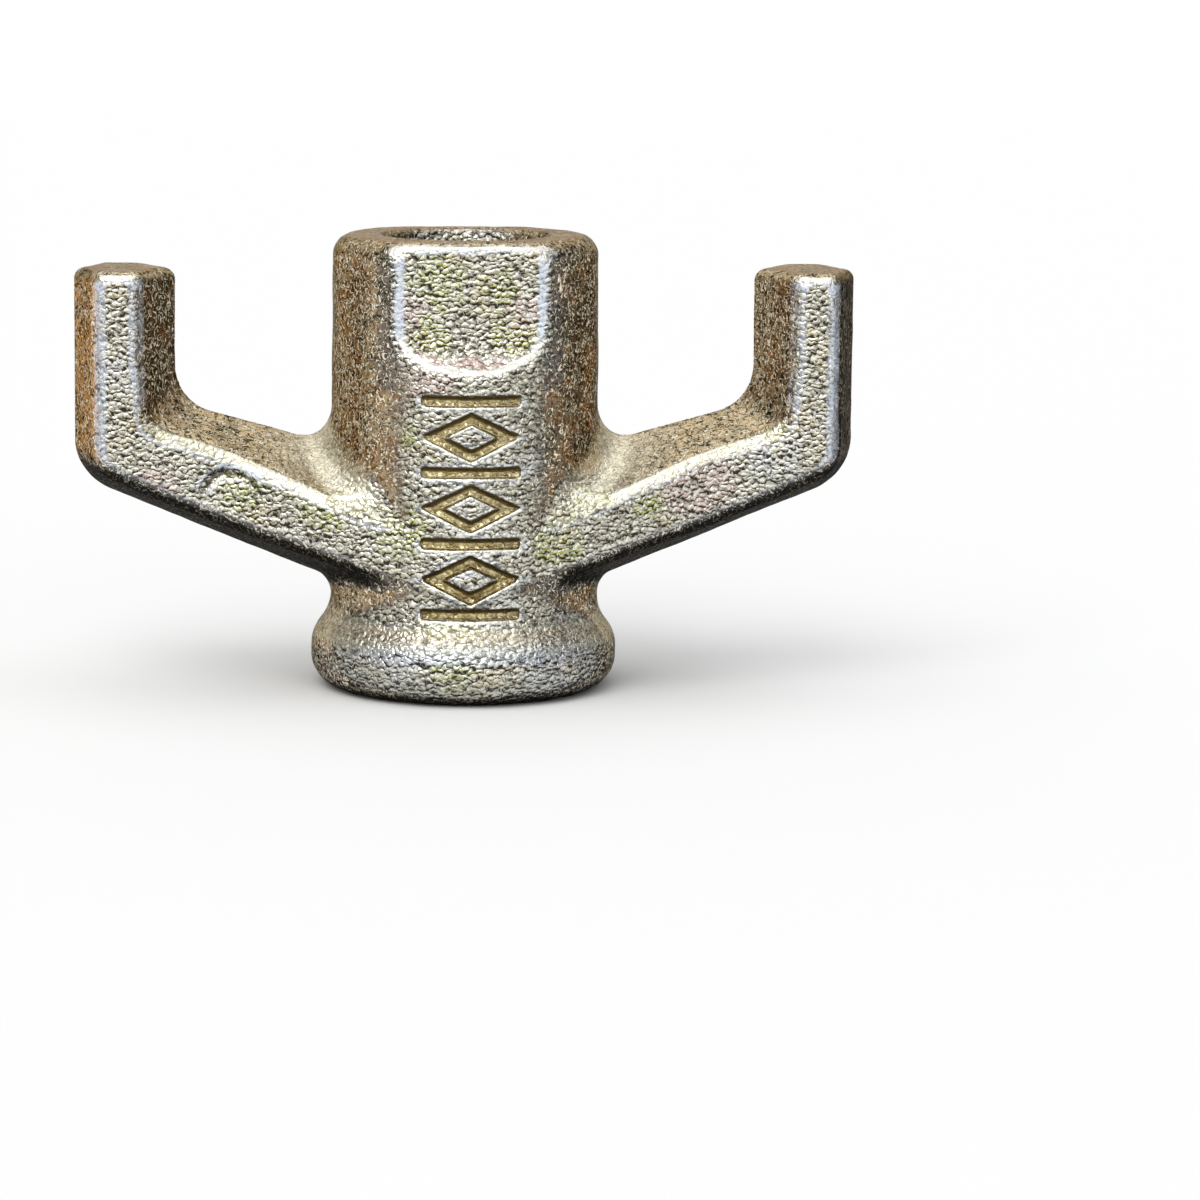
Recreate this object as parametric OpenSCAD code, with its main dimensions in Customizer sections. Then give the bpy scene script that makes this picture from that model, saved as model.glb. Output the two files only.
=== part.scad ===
// Wing nut for 15 mm formwork tie rods, forged as one piece.
// Z is the thread axis, X runs through both wings, the seat lies on z = 0.

/* [Barrel] */
// Height from the seat to the top rim
height = 56.4; // [52:0.2:60]
// Outside diameter just under the top rim
barrel_d = 33; // [32:0.2:34]
// Outside diameter at the neck, above the flange
neck_d = 33.4; // [32.6:0.2:34]
// Rounding of the top outer edge
rim_round = 2.5; // [1.5:0.25:3]

/* [Tie rod thread] */
// Clear diameter between the thread lands
land_d = 15.9; // [15.6:0.1:16.4]
// Advance of the thread in one turn
pitch = 10; // [8:1:12]
// Radial depth of the rounded thread groove
groove_depth = 0.95; // [0.7:0.05:1.1]
// Width of the groove at the land
groove_w = 5.2; // [4:0.2:6]
// Diameter of the lead-in cone at the top rim
mouth_d = 20.4; // [18.8:0.2:22]
// Depth of the lead-in cone at the top
mouth_depth = 6; // [3:0.5:8]
// Diameter of the small countersink in the seat
seat_sink_d = 19; // [17:0.5:21]

/* [Seat flange] */
// Largest diameter of the flange
flange_d = 38.2; // [37:0.2:40]
// Height at which the flange is widest
flange_z = 4.9; // [4.4:0.1:5.6]
// Rounding between the flange edge and the seat
flange_low_r = 3.8; // [2.5:0.1:4.3]
// Rounding of the flange edge on its upper side
flange_high_r = 4.9; // [4:0.1:5.5]
// Hollow rounding between the flange and the neck
neck_r = 5.6; // [5:0.1:6]

/* [Wrench flats] */
// Width across the two wrench flats
across_flats = 27; // [26:0.5:29]
// Height of the foot of the wrench flats
flat_z = 43.3; // [41:0.2:45]
// Slope of the ledges under the flats
ledge_angle = 44; // [40:1:55]
// Rounding of the top edge of each flat
flat_round = 1.5; // [0.5:0.25:2]

/* [Wings] */
// Distance between the outer faces of the wings
span = 96.8; // [92:0.2:100]
// Width of an upright at the parting line
upright_w = 12.3; // [11:0.1:13]
// Height of the upright tops
wing_top = 52.2; // [49:0.1:54]
// Depth of an upright from its front flat to its back flat
wing_depth = 16.5; // [14:0.5:18]
// Height of the upper arm edge where it reaches the barrel
crotch_z = 30.1; // [29:0.1:31]
// Height of the lower arm edge where it reaches the neck
armpit_z = 13.5; // [13:0.1:14.5]
// Slope of the upper arm edge
upper_slope = 15.5; // [14:0.5:17]
// Slope of the lower arm edge
lower_slope = 22.1; // [20:0.1:23]
// Inner elbow rounding
inner_r = 5.9; // [5:0.1:7]
// Outer elbow rounding
outer_r = 7.5; // [6:0.1:8]
// Rounding of the upright tops
top_r = 1.5; // [1.2:0.1:2.5]
// Rounding along the edges of the front and back faces
edge_r = 1.5; // [1:0.1:2]
// Distance from the axis at which the arm faces start to widen
knee_x = 30; // [27:0.5:33]

/* [Engraved marks] */
// Width of the marks across the barrel
mark_w = 12; // [10:0.5:13]
// Width of the engraved strokes
stroke = 1.2; // [1:0.1:1.5]
// Depth of the engraved strokes
mark_depth = 0.7; // [0.4:0.1:0.9]
// Height of the middle of the lowest bar
mark_z = 11.2; // [11:0.1:12]
// Distance from one bar to the next
mark_pitch = 8.7; // [8.4:0.1:9]

/* [Hidden] */
fn_round = 96;
barrel_r = barrel_d / 2;
neck_rad = neck_d / 2;
flange_r = flange_d / 2;
land_r = land_d / 2;
groove_r = land_r + groove_depth;
// centre of the hollow rounding, tangent to the neck and to the flange edge
hollow_x = neck_rad + neck_r;
hollow_dx = hollow_x - (flange_r - flange_high_r);
hollow_z = flange_z + sqrt(pow(neck_r + flange_high_r, 2) - pow(hollow_dx, 2));
touch_part = flange_high_r / (neck_r + flange_high_r);
touch = [
    flange_r - flange_high_r + hollow_dx * touch_part,
    flange_z + (hollow_z - flange_z) * touch_part
];

// the wing surface is worked out as a closed form and laid out in rows
half_depth = wing_depth / 2;
outer_x = span / 2;
inner_x = outer_x - upright_w;
// the wing's own barrel lies just under the real one
sink = 0.05;
side_x = neck_rad - sink;
// half width of the narrow land left along the parting line
land_half = 0.4;
crotch_r = 3.1;
armpit_r = 2.8;
// inset of a side for each millimetre away from the parting plane
draft_upright_in = 0.5;
draft_upright_out = 0.35;
draft_arm_top = 0.43;
draft_arm_low = 0.27;
// heights between which the draft changes from the arm's to the upright's
draft_in_z = [35, 41];
draft_out_z = [24, 30];
// elbow roundings where the sides meet the face
inner_face_r = 3;
outer_face_r = 3.5;
face_ramp = 0.3;
ramp_soft = 6;
// hollows between the arm and the barrel, above and below
saddle_r = 4.5;
saddle_fade = 5;
under_r = 1.7;
taper_z = [12, 54];
upper_n = [-sin(upper_slope), cos(upper_slope)];
lower_n = [sin(lower_slope), -cos(lower_slope)];
upper_at = [side_x, crotch_z];
lower_at = [side_x, armpit_z];

function clamp01(v) = min(1, max(0, v));
function mix(a, b, t) = a + (b - a) * t;

// distance to a corner between two lines, rounded by r: hollow when keep_or is true
function round_corner(a, b, cosine, r, keep_or) =
    let (
        s = keep_or ? 1 : -1,
        aa = s * a - r,
        bb = s * b - r,
        sine2 = 1 - cosine * cosine,
        ka = (aa - bb * cosine) / sine2,
        kb = (bb - aa * cosine) / sine2,
        far = sqrt(max(0, aa * aa + bb * bb - 2 * aa * bb * cosine) / sine2)
    )
    s * ((ka <= 0 && kb <= 0) ? r - far : min(s * a, s * b));

function part_way(v, range) = clamp01((v - range[0]) / (range[1] - range[0]));
function draft_above(p) = mix(draft_arm_top, draft_upright_in, part_way(p[1], draft_in_z));
function draft_below(p) = mix(draft_arm_low, draft_upright_out, part_way(p[1], draft_out_z));

// distance outside the upper and inner side of a wing at half depth y
function above_edge(p, y) =
    let (
        in = draft_above(p) * (y - land_half),
        r = mix(inner_r, inner_face_r, clamp01(y / half_depth))
    )
    round_corner(inner_x - p.x + in, (p - upper_at) * upper_n + in, sin(upper_slope), r, true);

// distance outside the lower and outer side of a wing at half depth y
function below_edge(p, y) =
    let (
        in = draft_below(p) * (y - land_half),
        r = mix(outer_r, outer_face_r, clamp01(y / half_depth))
    )
    round_corner(p.x - outer_x + in, (p - lower_at) * lower_n + in, sin(lower_slope), r, false);

// half depth of the flat front face at distance x from the axis
function face_depth(x) =
    let (t = knee_x - x)
    half_depth + face_ramp * (t + sqrt(t * t + ramp_soft)) / 2;

function round_and(a, b, r) =
    min(-r, max(a, b)) + norm([max(0, r + a), max(0, r + b)]);
function round_or(a, b, r) =
    max(r, min(a, b)) - norm([max(0, r - a), max(0, r - b)]);

function barrel_field(p, y) =
    norm([p.x, y]) - mix(neck_rad, barrel_r, part_way(p[1], taper_z)) + sink;

// barrel and wing together: a wide hollow above the arm, a tight one below it
function body_field(p, y) =
    let (
        core = barrel_field(p, y),
        above = above_edge(p, y) / norm([1, draft_above(p)]),
        below = below_edge(p, y) / norm([1, draft_below(p)]),
        hollow = saddle_r * clamp01((neck_rad - y) / saddle_fade),
        flanks = max(round_or(core, above, hollow), round_or(core, below, under_r)),
        face = (y - face_depth(p.x)) / norm([1, face_ramp])
    )
    min(core, round_and(round_and(flanks, face, edge_r), p[1] - wing_top, top_r));

// half depth of the body at a point of the parting plane, found by halving
function half_depth_at(p, lo = land_half, hi = barrel_d, n = 15) =
    n == 0 ? lo :
    let (y = (lo + hi) / 2)
    body_field(p, y) < 0 ? half_depth_at(p, y, hi, n - 1) : half_depth_at(p, lo, y, n - 1);

// place along a row where one of the slanted sides reaches the face
function face_edge(u, l, upper, lo = 0, hi = 1, n = 12) =
    n == 0 ? lo :
    let (
        t = (lo + hi) / 2,
        p = mix(u, l, t),
        y = face_depth(p.x),
        d = upper ? above_edge(p, y) : -below_edge(p, y)
    )
    d > 0 ? face_edge(u, l, upper, t, hi, n - 1) : face_edge(u, l, upper, lo, t, n - 1);

function on_arc(c, r, a) = c + r * [cos(a), sin(a)];
function along(n) = [for (i = [0 : n]) i / n];

inner_c = [
    inner_x - inner_r,
    crotch_z + (inner_r + sin(upper_slope) * (inner_x - inner_r - side_x)) / cos(upper_slope)
];
outer_c = [
    outer_x - outer_r,
    armpit_z + (outer_r + sin(lower_slope) * (outer_x - outer_r - side_x)) / cos(lower_slope)
];
crotch_c = [side_x + crotch_r, crotch_z + crotch_r * (1 + sin(upper_slope)) / cos(upper_slope)];
armpit_c = [side_x + armpit_r, armpit_z - armpit_r * (1 - sin(lower_slope)) / cos(lower_slope)];

// each row joins a point of the upper edge to a point of the lower edge
elbow_n = 9;
root_n = 7;
top_rows = [
    for (a = [90, 72, 54, 36, 18])
    [
        [inner_x + top_r * (1 - cos(a)), wing_top - top_r * (1 - sin(a))],
        [outer_x - top_r * (1 - cos(a)), wing_top - top_r * (1 - sin(a))]
    ]
];
upright_rows = [
    for (t = [0, 0.35, 0.7])
    [
        [inner_x, mix(wing_top - top_r, inner_c[1], t)],
        [outer_x, mix(wing_top - top_r, outer_c[1], t)]
    ]
];
elbow_rows = [
    for (t = along(elbow_n))
    [
        on_arc(inner_c, inner_r, -t * (90 - upper_slope)),
        on_arc(outer_c, outer_r, -t * (90 - lower_slope))
    ]
];
root_rows = [
    for (t = along(root_n))
    [
        on_arc(crotch_c, crotch_r, mix(270 + upper_slope, 180, t)),
        on_arc(armpit_c, armpit_r, mix(90 + lower_slope, 180, t))
    ]
];
arm_rows = [
    for (t = [0.2, 0.4, 0.6, 0.8])
    mix(elbow_rows[elbow_n], root_rows[0], t)
];
// rows inside the barrel lie wider apart towards the axis
inside_x = [16, 4.4];
inside_rows = [
    for (t = along(9))
    let (x = mix(inside_x[0], inside_x[1], pow(t, 1.25)))
    [
        [x, crotch_c[1] + 1],
        [x, armpit_c[1] - 0.6]
    ]
];
rows = concat(top_rows, upright_rows, elbow_rows, arm_rows, root_rows, inside_rows);
row_n = len(rows);

// stations across a row: slanted side, rounded edge, face, rounded edge, slanted side
side_n = 7;
edge_half = 0.9;
edge_steps = [-1, -0.3, 0.35, 1];
function stations(row) =
    let (
        a = face_edge(row[0], row[1], true),
        b = face_edge(row[0], row[1], false),
        w = norm(row[1] - row[0]),
        c = min(edge_half / w, (b - a) / 3)
    )
    concat(
        [for (i = [0 : side_n - 1]) i / side_n * (a - c)],
        [for (k = edge_steps) a + k * c],
        [(a + b) / 2],
        [for (k = edge_steps) b + k * c],
        [for (i = [1 : 3]) mix(b + c, 1, i / 3)]
    );
col_n = side_n + 12;
ring_n = 2 * col_n;

function row_front(row, inside) =
    let (ts = stations(row))
    [
        for (i = [0 : col_n - 1])
        let (
            p = mix(row[0], row[1], ts[i]),
            rim = !inside && (i == 0 || i == col_n - 1)
        )
        [p.x, rim ? land_half : half_depth_at(p), p[1]]
    ];
fronts = [
    for (r = [0 : row_n - 1])
    row_front(r == 0 ? [for (q = rows[0]) q - [0, 0.002]] : rows[r], r >= row_n - len(inside_rows))
];
wing_points = [
    for (f = fronts)
    for (i = [0 : ring_n - 1])
    i < col_n ? [f[i].x, -f[i].y, f[i].z] : f[ring_n - 1 - i]
];
side_faces = [
    for (r = [0 : row_n - 2])
    for (i = [0 : ring_n - 1])
    let (
        a = r * ring_n + i,
        b = r * ring_n + (i + 1) % ring_n,
        c = a + ring_n,
        d = b + ring_n
    )
    each (norm(wing_points[a] - wing_points[d]) < norm(wing_points[b] - wing_points[c])
        ? [[a, b, d], [a, d, c]]
        : [[a, b, c], [b, d, c]])
];
function cap(base, flip) = [
    for (i = [0 : col_n - 2])
    let (
        a = base + i,
        b = base + i + 1,
        c = base + ring_n - 2 - i,
        d = base + ring_n - 1 - i
    )
    each (flip ? [[a, d, c], [a, c, b]] : [[a, c, d], [a, b, c]])
];
wing_faces = concat(side_faces, cap(0, true), cap((row_n - 1) * ring_n, false));

module wing() {
    polyhedron(points = wing_points, faces = wing_faces, convexity = 6);
}

module barrel_profile() {
    polygon([
        [0, hollow_z - 1],
        [neck_rad, hollow_z],
        [barrel_r, height - rim_round],
        [barrel_r - rim_round, height],
        [0, height]
    ]);
    translate([barrel_r - rim_round, height - rim_round])
        circle(r = rim_round, $fn = fn_round);
    square([flange_r - flange_low_r, hollow_z / 2]);
    translate([0, flange_low_r])
        square([flange_r, flange_z - flange_low_r]);
    translate([flange_r - flange_low_r, flange_low_r])
        circle(r = flange_low_r, $fn = fn_round);
    translate([flange_r - flange_high_r, flange_z])
        circle(r = flange_high_r, $fn = fn_round);
    difference() {
        polygon([
            [0, flange_z],
            [flange_r - flange_high_r, flange_z],
            touch,
            [neck_rad, hollow_z],
            [0, hollow_z]
        ]);
        translate([hollow_x, hollow_z])
            circle(r = neck_r, $fn = fn_round);
    }
}

module wrench_flats() {
    reach = barrel_r - across_flats / 2 + 5;
    for (turn = [0, 180])
        rotate([0, 0, turn]) {
            rotate([90, 0, -90])
                linear_extrude(height = 2 * barrel_d, center = true)
                    polygon([
                        [across_flats / 2, flat_z],
                        [across_flats / 2 + reach, flat_z - reach * tan(ledge_angle)],
                        [across_flats / 2 + reach, height + 1],
                        [across_flats / 2, height + 1]
                    ]);
            difference() {
                translate([-barrel_r, -across_flats / 2 - 1, height - flat_round])
                    cube([barrel_d, 1 + flat_round, flat_round + 1]);
                translate([0, -across_flats / 2 + flat_round, height - flat_round])
                    rotate([0, 90, 0])
                        cylinder(r = flat_round, h = barrel_d + 2, center = true, $fn = fn_round);
            }
        }
}

module thread_groove() {
    turn_n = 30;
    low = -pitch / 2;
    turns = (height + pitch) / pitch;
    step_n = ceil(turn_n * turns);
    inset = 0.5;
    root_drop = 0.12;
    root_half = groove_w / 5;
    // the flanks run straight on into the bore, so that they cross the lands cleanly
    mouth_half = groove_w / 2 + (groove_w / 2 - root_half) * inset / (groove_depth - root_drop);
    profile = [
        [land_r - inset, mouth_half],
        [land_r - inset, -mouth_half],
        [groove_r - root_drop, -root_half],
        [groove_r, 0],
        [groove_r - root_drop, root_half]
    ];
    n = len(profile);
    pts = [
        for (s = [0 : step_n])
        let (a = 360 * s / turn_n)
        for (q = profile)
        [q.x * cos(a), q.x * sin(a), low + pitch * s / turn_n + q[1]]
    ];
    sides = [
        for (s = [0 : step_n - 1])
        for (i = [0 : n - 1])
        let (
            a = s * n + i,
            b = s * n + (i + 1) % n
        )
        each [[a, b, b + n], [a, b + n, a + n]]
    ];
    first = [for (i = [n - 1 : -1 : 0]) i];
    last = [for (i = [0 : n - 1]) step_n * n + i];
    polyhedron(points = pts, faces = concat(sides, [first, last]), convexity = 12);
}

// the lands, and a cone at each end that runs on past the nut
module bore() {
    past = 1;
    mouth_slope = (mouth_d / 2 - land_r) / mouth_depth;
    sink_top = seat_sink_d / 2 - land_r;
    translate([0, 0, -past])
        cylinder(r = land_r, h = height + 2 * past, $fn = fn_round);
    translate([0, 0, height - mouth_depth])
        cylinder(r1 = land_r, r2 = mouth_d / 2 + past * mouth_slope, h = mouth_depth + past, $fn = fn_round);
    translate([0, 0, -past])
        cylinder(r1 = seat_sink_d / 2 + past, r2 = land_r, h = sink_top + past, $fn = fn_round);
}

module diamond(w, h) {
    polygon([[-w / 2, 0], [0, -h / 2], [w / 2, 0], [0, h / 2]]);
}

// transverse bars with a diamond ring between each two
module mark_outlines() {
    bar_n = 4;
    gap = 0.8;
    ring_h = mark_pitch - stroke - 2 * gap;
    island = 1 - 2 * stroke * norm([mark_w, ring_h]) / (mark_w * ring_h);
    for (i = [0 : bar_n - 1])
        translate([-mark_w / 2, mark_z + i * mark_pitch - stroke / 2])
            square([mark_w, stroke]);
    for (i = [0 : bar_n - 2])
        translate([0, mark_z + (i + 0.5) * mark_pitch])
            difference() {
                diamond(mark_w, ring_h);
                diamond(mark_w * island, ring_h * island);
            }
}

module marks() {
    intersection() {
        rotate([90, 0, 0])
            linear_extrude(height = barrel_d)
                mark_outlines();
        difference() {
            cylinder(r = barrel_d, h = height, $fn = fn_round);
            cylinder(r1 = neck_rad - mark_depth, r2 = barrel_r - mark_depth, h = height, $fn = fn_round);
        }
    }
}

module wing_nut() {
    color([0.62, 0.55, 0.36])
        difference() {
            union() {
                rotate_extrude($fn = fn_round)
                    barrel_profile();
                wing();
                rotate([0, 0, 180])
                    wing();
            }
            wrench_flats();
            bore();
            thread_groove();
            marks();
        }
}

wing_nut();
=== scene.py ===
import math

import bpy
import bmesh
import numpy as np
from mathutils import Matrix, Vector


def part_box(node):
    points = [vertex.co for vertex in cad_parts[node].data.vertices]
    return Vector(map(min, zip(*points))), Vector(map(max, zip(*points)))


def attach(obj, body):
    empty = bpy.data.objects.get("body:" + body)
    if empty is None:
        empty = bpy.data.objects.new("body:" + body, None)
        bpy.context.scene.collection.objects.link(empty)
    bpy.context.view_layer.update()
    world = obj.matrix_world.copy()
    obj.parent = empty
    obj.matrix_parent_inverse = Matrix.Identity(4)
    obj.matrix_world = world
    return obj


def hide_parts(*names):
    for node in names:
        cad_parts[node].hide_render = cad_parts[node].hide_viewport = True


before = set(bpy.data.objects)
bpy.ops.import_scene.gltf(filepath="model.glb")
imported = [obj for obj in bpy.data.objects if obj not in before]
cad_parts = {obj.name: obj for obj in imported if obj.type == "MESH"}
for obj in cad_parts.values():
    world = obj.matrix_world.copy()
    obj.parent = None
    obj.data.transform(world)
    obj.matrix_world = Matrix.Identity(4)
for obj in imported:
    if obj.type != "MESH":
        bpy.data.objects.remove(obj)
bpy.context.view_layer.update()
nodeLow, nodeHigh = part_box("wing_nut")
toMm = 1000


def mix(a, b, t):
    return a + (b - a) * t


# share of the way from one end to the other, 0 to 1
def partWay(v, ends):
    return np.clip((v - ends[0]) / (ends[1] - ends[0]), 0, 1)


# what is inside both, with the edge rounded by r
def roundAnd(a, b, r):
    return np.minimum(-r, np.maximum(a, b)) + np.hypot(np.maximum(0, r + a), np.maximum(0, r + b))


# what is inside either, with the inner corner filled by r
def roundOr(a, b, r):
    return np.maximum(r, np.minimum(a, b)) - np.hypot(np.maximum(0, r - a), np.maximum(0, r - b))


# distance to a corner between two planes, rounded by r; hollow keeps what is outside either
def roundCorner(a, b, cosine, r, hollow):
    sign = 1 if hollow else -1
    aa = sign * a - r
    bb = sign * b - r
    sineSquared = 1 - cosine * cosine
    inBand = (aa <= bb * cosine) & (bb <= aa * cosine)
    far = np.sqrt(np.maximum(0, aa * aa + bb * bb - 2 * aa * bb * cosine) / sineSquared)
    return sign * np.where(inBand, r - far, np.minimum(sign * a, sign * b))


# sizes in millimetres here and below, the same as the solid's
barrel = {
    "height": (nodeHigh.z - nodeLow.z) * toMm,
    "radius": 16.5,
    "neckRadius": 16.7,
    "rimRound": 2.5,
    "flangeRadius": (nodeHigh.y - nodeLow.y) * toMm / 2,
    "flangeZ": 4.9,
    "flangeLowRound": 3.8,
    "flangeHighRound": 4.9,
    "hollowRound": 5.6,
}


# barrel, neck and flange as one turned profile
def barrelField(x, y, z):
    r = np.hypot(x, y)
    edgeX = barrel["flangeRadius"] - barrel["flangeHighRound"]
    hollowX = barrel["neckRadius"] + barrel["hollowRound"]
    reach = barrel["hollowRound"] + barrel["flangeHighRound"]
    rise = math.sqrt(reach ** 2 - (hollowX - edgeX) ** 2)
    hollowZ = barrel["flangeZ"] + rise
    grow = partWay(z, (hollowZ, barrel["height"] - barrel["rimRound"]))
    wall = r - mix(barrel["neckRadius"], barrel["radius"], grow)
    column = roundAnd(wall, z - barrel["height"], barrel["rimRound"])
    lip = np.hypot(r - edgeX, z - barrel["flangeZ"]) - barrel["flangeHighRound"]
    hollow = barrel["hollowRound"] - np.hypot(r - hollowX, z - hollowZ)
    foot = roundAnd(r - barrel["flangeRadius"], -z, barrel["flangeLowRound"])
    besideLip = (hollowX - edgeX) * (z - barrel["flangeZ"]) < rise * (r - edgeX)
    low = np.where(z < barrel["flangeZ"], foot, np.where(besideLip, lip, hollow))
    return np.where(z < hollowZ, low, column)


wings = {
    "outerX": (nodeHigh.x - nodeLow.x) * toMm / 2,
    "width": 12.3,
    "top": 52.2,
    "halfDepth": 8.25,
    "crotchZ": 30.1,
    "armpitZ": 13.5,
    "upperSlope": 15.5,
    "lowerSlope": 22.1,
    "innerRound": (5.9, 3.0),    # at the parting line, at the face
    "outerRound": (7.5, 3.5),
    "landHalf": 0.4,
    "draftIn": (0.43, 0.5),      # arm, upright
    "draftOut": (0.27, 0.35),
    "draftInZ": (35, 41),
    "draftOutZ": (24, 30),
    "faceRamp": 0.3,
    "rampSoft": 6,
    "kneeX": 30,
    "edgeRound": 1.5,
    "topRound": 1.5,
    "saddleRound": 4.5,
    "saddleFade": 5,
    "underRound": 1.7,
    "faceBlend": 0.9,
}


# the barrel with both wings, since each is the other turned half round
def wingField(x, y, z, core):
    x = np.abs(x)
    y = np.abs(y)
    up = math.radians(wings["upperSlope"])
    down = math.radians(wings["lowerSlope"])
    draftIn = mix(*wings["draftIn"], partWay(z, wings["draftInZ"]))
    draftOut = mix(*wings["draftOut"], partWay(z, wings["draftOutZ"]))
    depthPart = partWay(y, (0, wings["halfDepth"]))
    insetIn = draftIn * (y - wings["landHalf"])
    insetOut = draftOut * (y - wings["landHalf"])
    innerX = wings["outerX"] - wings["width"]
    rootX = x - barrel["neckRadius"]
    overArm = (z - wings["crotchZ"]) * math.cos(up) - rootX * math.sin(up)
    underArm = rootX * math.sin(down) - (z - wings["armpitZ"]) * math.cos(down)
    above = roundCorner(
        innerX - x + insetIn, overArm + insetIn, math.sin(up),
        mix(*wings["innerRound"], depthPart), True) / np.hypot(1, draftIn)
    below = roundCorner(
        x - wings["outerX"] + insetOut, underArm + insetOut, math.sin(down),
        mix(*wings["outerRound"], depthPart), False) / np.hypot(1, draftOut)
    saddle = wings["saddleRound"] * partWay(barrel["neckRadius"] - y, (0, wings["saddleFade"]))
    t = wings["kneeX"] - x
    depth = wings["halfDepth"] + wings["faceRamp"] * (t + np.sqrt(t * t + wings["rampSoft"])) / 2
    face = (y - depth) / math.hypot(1, wings["faceRamp"])

    def finished(flanks):
        return roundAnd(roundAnd(flanks, face, wings["edgeRound"]), z - wings["top"], wings["topRound"])

    # the hollows beside the arm run into the barrel, and its face meets the barrel in a tight one
    hollowed = np.maximum(roundOr(core, above, saddle), roundOr(core, below, wings["underRound"]))
    plain = finished(np.maximum(above, below))
    return np.minimum(finished(hollowed), roundOr(core, plain, wings["faceBlend"]))


flats = {
    "half": 13.5,       # from the axis to a flat
    "footZ": 43.3,
    "ledgeAngle": 44,
    "footRound": 1.6,
    "edgeRound": 1.8,
}


# how far a point is outside the two wrench flats and their slanted feet
def flatField(y, z):
    slope = math.radians(flats["ledgeAngle"])
    beyond = np.abs(y) - flats["half"]
    ledge = (z - flats["footZ"]) * math.cos(slope) + beyond * math.sin(slope)
    return roundOr(beyond, ledge, flats["footRound"]), np.where(ledge < beyond, math.sin(slope), 1)


# cuts both flats, with edges rounded by the angle at which each meets the barrel
def withFlats(body, x, y, z):
    flat, lean = flatField(y, z)
    rim = partWay(z, (barrel["height"] - barrel["rimRound"], barrel["height"]))
    cosine = np.abs(y) / np.maximum(1, np.hypot(x, y)) * lean * (1 - rim)
    return roundCorner(body, flat, np.minimum(cosine, 0.99), flats["edgeRound"], False)


crease = {
    "x": -29,
    "z": 23.8,
    "radius": 3.9,
    "turn": (20, 165),      # from its low end to its high end, in degrees seen from the front
    "fade": (60, 12),       # how soon it is full from each end
    "half": 0.6,
    "depth": 0.35,
}


# depth of the curved crease left by the die on the front of one arm
def creaseDepth(x, y, z):
    fromLine = np.abs(np.hypot(x - crease["x"], z - crease["z"]) - crease["radius"])
    turn = np.degrees(np.arctan2(z - crease["z"], x - crease["x"]))
    low, high = crease["turn"]
    fadeLow, fadeHigh = crease["fade"]
    strength = partWay(turn, (low, low + fadeLow)) * partWay(turn, (high, high - fadeHigh)) * (y < 0)
    return crease["depth"] * strength * (1 - partWay(fromLine, (0, crease["half"])) ** 2)


bore = {
    "landRadius": 7.95,
    "pitch": 10,
    "grooveDepth": 0.95,
    "grooveHalf": 2.6,
    "flankPart": 0.62,        # share of the half groove taken by its flank
    "grooveSteepness": 1.15,
    "mouthRadius": 10.2,
    "mouthDepth": 6,
    "seatSinkRadius": 9.5,
    "coneRound": 0.4,
    "sinkRound": 0.3,
    "edgeRound": 0.5,
    "filmRadius": 10.5,       # the film of the bore reaches this far out and down from its edge
    "filmDepth": 0.6,
}


# how far a point is inside the bore: lands with the thread groove, lead-in cone, sink in the seat
def boreField(x, y, z):
    r = np.hypot(x, y)
    pitch = bore["pitch"]
    turn = np.arctan2(y, x) / (2 * math.pi)
    along = np.mod(z - pitch * turn + pitch, pitch) - pitch / 2
    groove = np.clip((bore["grooveHalf"] - np.abs(along)) / (bore["grooveHalf"] * bore["flankPart"]), 0, 1)
    groove = groove * groove * (3 - 2 * groove)
    lands = (bore["landRadius"] + bore["grooveDepth"] * groove - r) / bore["grooveSteepness"]
    slope = (bore["mouthRadius"] - bore["landRadius"]) / bore["mouthDepth"]
    cone = (bore["mouthRadius"] - slope * (barrel["height"] - z) - r) / math.hypot(1, slope)
    sink = (bore["seatSinkRadius"] - z - r) / math.sqrt(2)
    return roundAnd(roundAnd(lands, cone, bore["coneRound"]), sink, bore["sinkRound"])


marks = {
    "halfWidth": 6,
    "stroke": 1.2,
    "depth": 0.7,
    "lowest": 11.2,
    "pitch": 8.7,
    "bars": 4,
    "gap": 0.8,
    "edgeRound": 0.28,
    "endRound": 0.3,
    "slant": 0.25,            # of the strokes' walls
    "border": 0.6,            # how far round the strokes the gold film reaches
    "margin": (1.2, 1.5),     # of finer faces beside and beyond the marks
}


# strokes of the plain engraved pattern, seen from the front: bars with a diamond ring between each two
def strokeField(x, z):
    half = marks["stroke"] / 2
    ringHeight = marks["pitch"] - marks["stroke"] - 2 * marks["gap"]
    width = 2 * marks["halfWidth"]
    strokes = np.full(x.shape, np.inf)
    for i in range(marks["bars"]):
        barZ = marks["lowest"] + i * marks["pitch"]
        bar = roundAnd(np.abs(x) - marks["halfWidth"], np.abs(z - barZ) - half, marks["endRound"])
        strokes = np.minimum(strokes, bar)
    for i in range(marks["bars"] - 1):
        ringZ = marks["lowest"] + (i + 0.5) * marks["pitch"]
        side = np.abs(x) * ringHeight + np.abs(z - ringZ) * width - width * ringHeight / 2
        ring = np.abs(side / math.hypot(width, ringHeight) + half) - half
        strokes = np.minimum(strokes, ring)
    return strokes


# the whole nut: below 0 inside it
def nutField(x, y, z):
    core = barrelField(x, y, z)
    body = wingField(x, y, z, core)
    body = withFlats(body, x, y, z) + creaseDepth(x, y, z)
    body = roundAnd(body, boreField(x, y, z), bore["edgeRound"])
    strokes = strokeField(x, z) - marks["slant"] * np.minimum(0, core)
    uncut = roundOr(-strokes, core + marks["depth"], marks["edgeRound"])
    engraved = roundAnd(body, uncut, marks["edgeRound"])
    return np.where(y < 0, engraved, body)


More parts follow.
